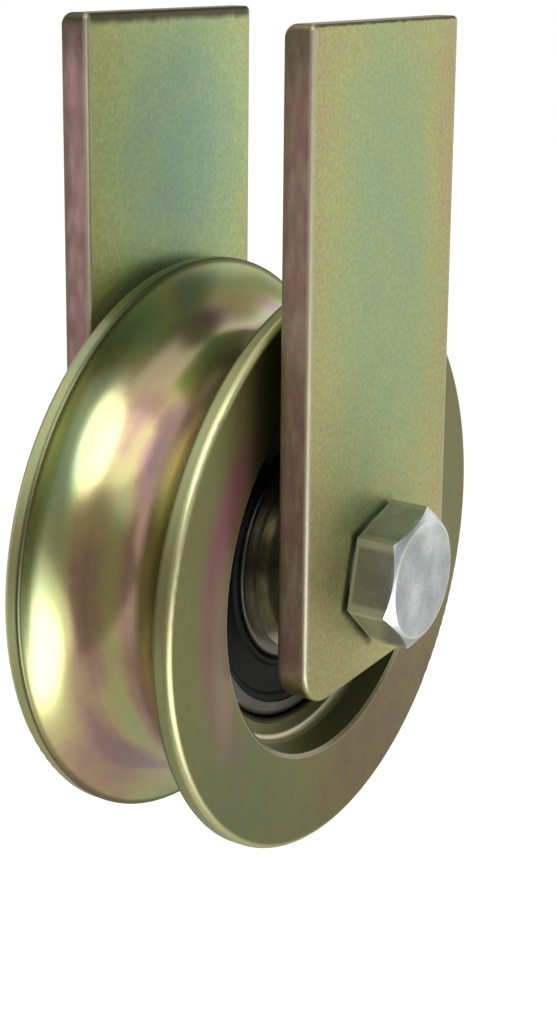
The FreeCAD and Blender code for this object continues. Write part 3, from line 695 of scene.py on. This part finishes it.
def rubber_finish():
    """The seals' black rubber, with a little dust."""
    material, tree, shader, point = new_material("seal_rubber", Specular_IOR_Level=0.16)
    speckle = speckle_on(tree, point, 3.5)
    dust = step_between(tree, total(tree, speckle["Clouds"], product(tree, speckle["Speckle"], 0.3)), 0.5, 0.9)
    colour = blended(tree, dust, screen_colour(6, 7, 9), screen_colour(15, 17, 20))
    tree.links.new(colour, shader.inputs["Base Color"])
    feed_roughness(tree, shader, 0.42, speckle, 0.2)
    feed_bump(tree, shader, speckle["Speckle"], 0.2, 0.00005)
    return material


def nylon_finish():
    """The nut's pale nylon ring."""
    material, tree, shader, point = new_material("nylon_ring", Subsurface_Weight=0.1)
    speckle = speckle_on(tree, point, 2.0)
    colour = blended(tree, speckle["Clouds"], screen_colour(212, 216, 214), screen_colour(186, 192, 194))
    tree.links.new(colour, shader.inputs["Base Color"])
    feed_roughness(tree, shader, 0.36, speckle, 0.2)
    feed_bump(tree, shader, speckle["Speckle"], 0.15, 0.00005)
    return material


BALLS = [name for name in nodes if name.startswith("ball_")]
CAGES = [name for name in nodes if name.startswith("cage_")]
SEAL_DISCS = [name for name in nodes if "disc" in name]
SEALS = [name for name in nodes if "seal" in name and name not in SEAL_DISCS]
# the outer ring's steel is a darker copy of the inner ring's: painted shade for the recess round it
paint(steel_finish("outer_ring_steel_shaded", (112, 112, 106), (80, 80, 76), 0.26), "outer_ring")
paint(steel_finish("inner_ring_steel", (126, 126, 118), (92, 92, 86), 0.34, dim_from=14.5), "inner_ring")
paint(steel_finish("ball_steel", (214, 216, 216), (190, 192, 192), 0.06, ring_share=0.2), *BALLS)
paint(steel_finish("pressed_steel", (186, 182, 170), (140, 136, 126), 0.30), *CAGES, *SEAL_DISCS)
paint(rubber_finish(), *SEALS)
paint(nylon_finish(), "nut_insert")

# %% [markdown]
# The studio is a pale table near a white backdrop, with the camera standing at the table's edge. Polished metal is a
# mirror, so what it shows is decided by where the lamps and the white surfaces are, and by where the room is dim: the
# dim side is the camera's own. Two soft lamps, each with a wider and fainter one round it, make the two long lights
# in the groove, and the room fills the rest.

# %% Table
FLOOR_LEVEL = -0.26
FLOOR_GLOW = 0.7
bpy.ops.object.select_all(action="DESELECT")
bpy.ops.mesh.primitive_plane_add(size=1.0, location=(1.05, 0.55, FLOOR_LEVEL))
floor = bpy.context.object
floor.name = "floor"
floor.scale = (3.0, 3.0, 1.0)
floor.rotation_euler = (0, 0, math.radians(28))
bpy.ops.object.transform_apply(location=True, rotation=True, scale=True)
floor_material = bpy.data.materials.new("pale_table")
floor_material.use_nodes = True
floor_tree = floor_material.node_tree
floor_shader = floor_tree.nodes["Principled BSDF"]
floor_shader.inputs["Base Color"].default_value = (0.62, 0.61, 0.58, 1.0)
floor_shader.inputs["Roughness"].default_value = 0.9
floor_path = add(floor_tree, "ShaderNodeLightPath").outputs
floor_place = add(floor_tree, "ShaderNodeTexCoord").outputs["Object"]
floor_away = vector_maths(floor_tree, "LENGTH", floor_place)["Value"]
floor_mirrored = maths(floor_tree, "MAXIMUM", floor_path["Is Glossy Ray"], floor_path["Is Transmission Ray"])
floor_far = product(floor_tree, floor_mirrored, step_between(floor_tree, floor_away, 0.42, 0.62))
floor_white = maths(floor_tree, "MAXIMUM", floor_path["Is Camera Ray"], product(floor_tree, floor_far, 0.5))
floor_shader.inputs["Emission Color"].default_value = WHITE
floor_tree.links.new(product(floor_tree, floor_white, FLOOR_GLOW), floor_shader.inputs["Emission Strength"])
floor.data.materials.append(floor_material)
print("table below the axle, mm:", round(-FLOOR_LEVEL * 1000))

# %% Lamps
def towards(azimuth, elevation):
    """The direction of a compass reading on the part: azimuth 0 is along -Y and 90 along +X."""
    a, e = math.radians(azimuth), math.radians(elevation)
    return Vector((math.sin(a) * math.cos(e), -math.cos(a) * math.cos(e), math.sin(e)))


def soft_lamp(name, azimuth, elevation, distance, width, height, brightness, roll=0.0):
    """An oval soft lamp that faces the wheel. brightness is how bright its face looks, where 1 is white."""
    lamp = bpy.data.objects.new(name, bpy.data.lights.new(name, "AREA"))
    scene.collection.objects.link(lamp)
    lamp.data.shape = "ELLIPSE"
    lamp.data.size, lamp.data.size_y = width, height
    lamp.data.energy = brightness * math.pi * (math.pi / 4 * width * height)
    lamp.location = towards(azimuth, elevation) * distance
    turned = (-lamp.location).to_track_quat("-Z", "Y") @ Quaternion((0, 0, 1), math.radians(roll))
    lamp.rotation_euler = turned.to_euler()
    lamp.visible_camera = False
    print(name, "energy", round(lamp.data.energy, 2))


soft_lamp("lamp_high", -36, 38.5, 0.55, 0.46, 0.40, 2.7, roll=-8)
soft_lamp("lamp_high_wash", -80, 50, 0.57, 0.80, 0.36, 0.9, roll=-14)
soft_lamp("lamp_low", -17, -32, 0.34, 0.33, 0.18, 2.6)
soft_lamp("lamp_low_wash", -16, -33, 0.37, 0.60, 0.34, 1.05)

# %% Room
world = bpy.data.worlds.new("room")
world.use_nodes = True
scene.world = world
room = world.node_tree
room_background = room.nodes["Background"]
room_way = add(room, "ShaderNodeTexCoord").outputs["Generated"]


def facing(direction, low, high):
    """How far a ray of the room points along a direction, from 0 to 1."""
    along = vector_maths(room, "DOT_PRODUCT", room_way, direction)["Value"]
    return step_between(room, along, low, high)


ROOM_SIDES = (
    # direction, where its colour starts and where it is full, and the colour
    (towards(75, 0), -0.2, 0.8, WHITE),
    (towards(-150, 12), 0.94, 0.985, (0.92, 0.86, 0.82, 1.0)),
    (towards(-125, 60), 0.66, 0.86, (0.92, 0.90, 0.88, 1.0)),
    ((0, 0, 1), 0.83, 0.91, (1.0, 0.93, 0.88, 1.0)),
    (towards(38, 38), 0.80, 0.93, screen_colour(112, 118, 100)),
    (towards(92, 20), 0.88, 0.97, screen_colour(176, 172, 150)),
    (towards(88, 57), 0.94, 0.985, screen_colour(104, 104, 88)),
)
room_colour = screen_colour(150, 142, 132)
for direction, low, high, side_colour in ROOM_SIDES:
    room_colour = blended(room, facing(direction, low, high), room_colour, side_colour)
backdrop = facing(towards(122, -12), 0.80, 0.93)
room_path = add(room, "ShaderNodeLightPath").outputs
sees_white = room_path["Is Camera Ray"]
for mirror_ray in ("Is Glossy Ray", "Is Transmission Ray"):
    sees_white = maths(room, "MAXIMUM", sees_white, product(room, room_path[mirror_ray], backdrop))
room.links.new(blended(room, sees_white, room_colour, WHITE), room_background.inputs["Color"])
room_background.inputs["Strength"].default_value = 1.0
print("sides of the room:", len(ROOM_SIDES))
